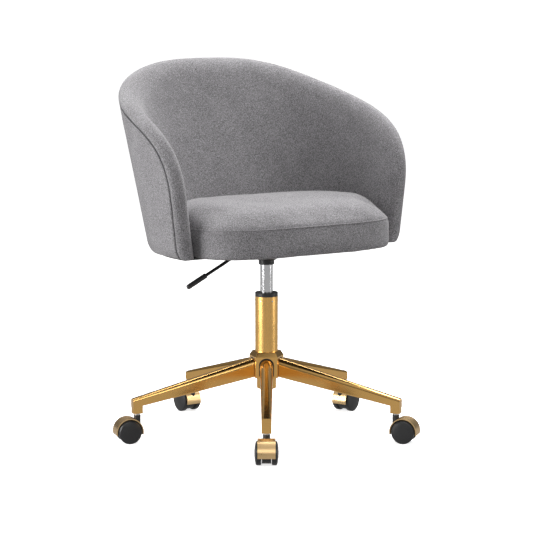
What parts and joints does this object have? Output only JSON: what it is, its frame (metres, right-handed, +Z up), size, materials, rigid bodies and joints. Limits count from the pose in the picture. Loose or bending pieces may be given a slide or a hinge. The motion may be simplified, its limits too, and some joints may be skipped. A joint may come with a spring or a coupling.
{
  "type": "swivel office chair",
  "caption": "Upholstered tub seat with wrap-round back and arms on a gas lift, with a star base on swivelling twin-wheel casters and a height lever.",
  "frame": {"origin": "on the floor, on the axis of the gas lift", "axes": "+Z up; the sitter faces -Y, and the height lever is on -X, the sitter's right"},
  "size_m": [0.6637, 0.6349, 0.816],
  "materials": {
    "gold": "satin brass-coloured plating",
    "black_plastic": "matte black",
    "wheel_black": "satin black",
    "black_steel": "black powder coat",
    "steel": "bright zinc",
    "chrome": "mirror chrome",
    "plywood": "raw birch ply",
    "fabric": "grey melange linen weave",
    "cover": "black non-woven"
  },
  "bodies": {
    "base": {"hub": "gold", "leg_1": "gold", "leg_2": "gold", "leg_3": "gold", "leg_4": "gold", "leg_5": "gold", "stem_sockets": "black_plastic", "caster_stems": "steel", "column_tube": "gold", "tube_rivets": "gold", "column_cap": "black_plastic", "guide_bush": "black_plastic", "thrust_washer": "steel"},
    "piston": {"piston_rod": "steel", "piston_head": "steel", "thrust_bearing": "steel", "retaining_clip": "steel"},
    "seat": {"gas_cylinder": "chrome", "taper_collar": "black_plastic", "mechanism_housing": "black_steel", "mechanism_plate": "black_steel", "mechanism_bolts": "steel", "lever_pivot": "steel", "seat_board": "plywood", "seat_cushion": "fabric", "back_shell": "fabric", "shell_bracket": "black_steel", "shell_bolts": "steel", "dust_cover": "cover"},
    "lever": {"lever_rod": "black_steel", "lever_grip": "black_plastic"},
    "valve": {"valve_button": "black_plastic"},
    "caster_1": {"caster_1_hood": "gold", "caster_1_body": "black_plastic", "caster_1_axle": "steel"},
    "wheel_1_a": {"caster_1_wheel_a": "wheel_black"},
    "wheel_1_b": {"caster_1_wheel_b": "wheel_black"},
    "caster_2": {"caster_2_hood": "gold", "caster_2_body": "black_plastic", "caster_2_axle": "steel"},
    "wheel_2_a": {"caster_2_wheel_a": "wheel_black"},
    "wheel_2_b": {"caster_2_wheel_b": "wheel_black"},
    "caster_3": {"caster_3_hood": "gold", "caster_3_body": "black_plastic", "caster_3_axle": "steel"},
    "wheel_3_a": {"caster_3_wheel_a": "wheel_black"},
    "wheel_3_b": {"caster_3_wheel_b": "wheel_black"},
    "caster_4": {"caster_4_hood": "gold", "caster_4_body": "black_plastic", "caster_4_axle": "steel"},
    "wheel_4_a": {"caster_4_wheel_a": "wheel_black"},
    "wheel_4_b": {"caster_4_wheel_b": "wheel_black"},
    "caster_5": {"caster_5_hood": "gold", "caster_5_body": "black_plastic", "caster_5_axle": "steel"},
    "wheel_5_a": {"caster_5_wheel_a": "wheel_black"},
    "wheel_5_b": {"caster_5_wheel_b": "wheel_black"}
  },
  "joints": [
    {"name": "seat_swivel", "type": "hinge", "parent": "base", "child": "piston", "pos_m": [0, 0, 0.14], "axis": [0, 0, 1], "continuous": true},
    {"name": "seat_height", "type": "slide", "parent": "piston", "child": "seat", "axis": [0, 0, 1], "range_m": [-0.055, 0.045]},
    {"name": "height_lever", "type": "hinge", "parent": "seat", "child": "lever", "pos_m": [-0.04, 0, 0.4045], "axis": [0, 1, 0], "range_deg": [0, 5], "stiffness_Nm_per_rad": 3, "springref_deg": -2.86},
    {"name": "valve_press", "type": "slide", "parent": "seat", "child": "valve", "axis": [0, 0, 1], "range_m": [-0.0036, 0]},
    {"name": "caster_1_swivel", "type": "hinge", "parent": "base", "child": "caster_1", "pos_m": [-0.16806, -0.24001, 0.05], "axis": [0, 0, 1], "continuous": true},
    {"name": "wheel_1_a_spin", "type": "hinge", "parent": "caster_1", "child": "wheel_1_a", "pos_m": [-0.17953, -0.25639, 0.025], "axis": [0.8192, -0.5736, 0], "continuous": true},
    {"name": "wheel_1_b_spin", "type": "hinge", "parent": "caster_1", "child": "wheel_1_b", "pos_m": [-0.17953, -0.25639, 0.025], "axis": [0.8192, -0.5736, 0], "continuous": true},
    {"name": "caster_2_swivel", "type": "hinge", "parent": "base", "child": "caster_2", "pos_m": [0.17633, -0.234, 0.05], "axis": [0, 0, 1], "continuous": true},
    {"name": "wheel_2_a_spin", "type": "hinge", "parent": "caster_2", "child": "wheel_2_a", "pos_m": [0.18837, -0.24997, 0.025], "axis": [0.7986, 0.6018, 0], "continuous": true},
    {"name": "wheel_2_b_spin", "type": "hinge", "parent": "caster_2", "child": "wheel_2_b", "pos_m": [0.18837, -0.24997, 0.025], "axis": [0.7986, 0.6018, 0], "continuous": true},
    {"name": "caster_3_swivel", "type": "hinge", "parent": "base", "child": "caster_3", "pos_m": [0.27704, 0.09539, 0.05], "axis": [0, 0, 1], "continuous": true},
    {"name": "wheel_3_a_spin", "type": "hinge", "parent": "caster_3", "child": "wheel_3_a", "pos_m": [0.29595, 0.1019, 0.025], "axis": [-0.3256, 0.9455, 0], "continuous": true},
    {"name": "wheel_3_b_spin", "type": "hinge", "parent": "caster_3", "child": "wheel_3_b", "pos_m": [0.29595, 0.1019, 0.025], "axis": [-0.3256, 0.9455, 0], "continuous": true},
    {"name": "caster_4_swivel", "type": "hinge", "parent": "base", "child": "caster_4", "pos_m": [-0.00511, 0.29296, 0.05], "axis": [0, 0, 1], "continuous": true},
    {"name": "wheel_4_a_spin", "type": "hinge", "parent": "caster_4", "child": "wheel_4_a", "pos_m": [-0.00546, 0.31295, 0.025], "axis": [-0.9998, -0.0175, 0], "continuous": true},
    {"name": "wheel_4_b_spin", "type": "hinge", "parent": "caster_4", "child": "wheel_4_b", "pos_m": [-0.00546, 0.31295, 0.025], "axis": [-0.9998, -0.0175, 0], "continuous": true},
    {"name": "caster_5_swivel", "type": "hinge", "parent": "base", "child": "caster_5", "pos_m": [-0.2802, 0.08567, 0.05], "axis": [0, 0, 1], "continuous": true},
    {"name": "wheel_5_a_spin", "type": "hinge", "parent": "caster_5", "child": "wheel_5_a", "pos_m": [-0.29932, 0.09151, 0.025], "axis": [-0.2924, -0.9563, 0], "continuous": true},
    {"name": "wheel_5_b_spin", "type": "hinge", "parent": "caster_5", "child": "wheel_5_b", "pos_m": [-0.29932, 0.09151, 0.025], "axis": [-0.2924, -0.9563, 0], "continuous": true}
  ],
  "couplings": [
    {"joint": "valve_press", "follows": "height_lever", "m_per_rad": -0.0395}
  ]
}
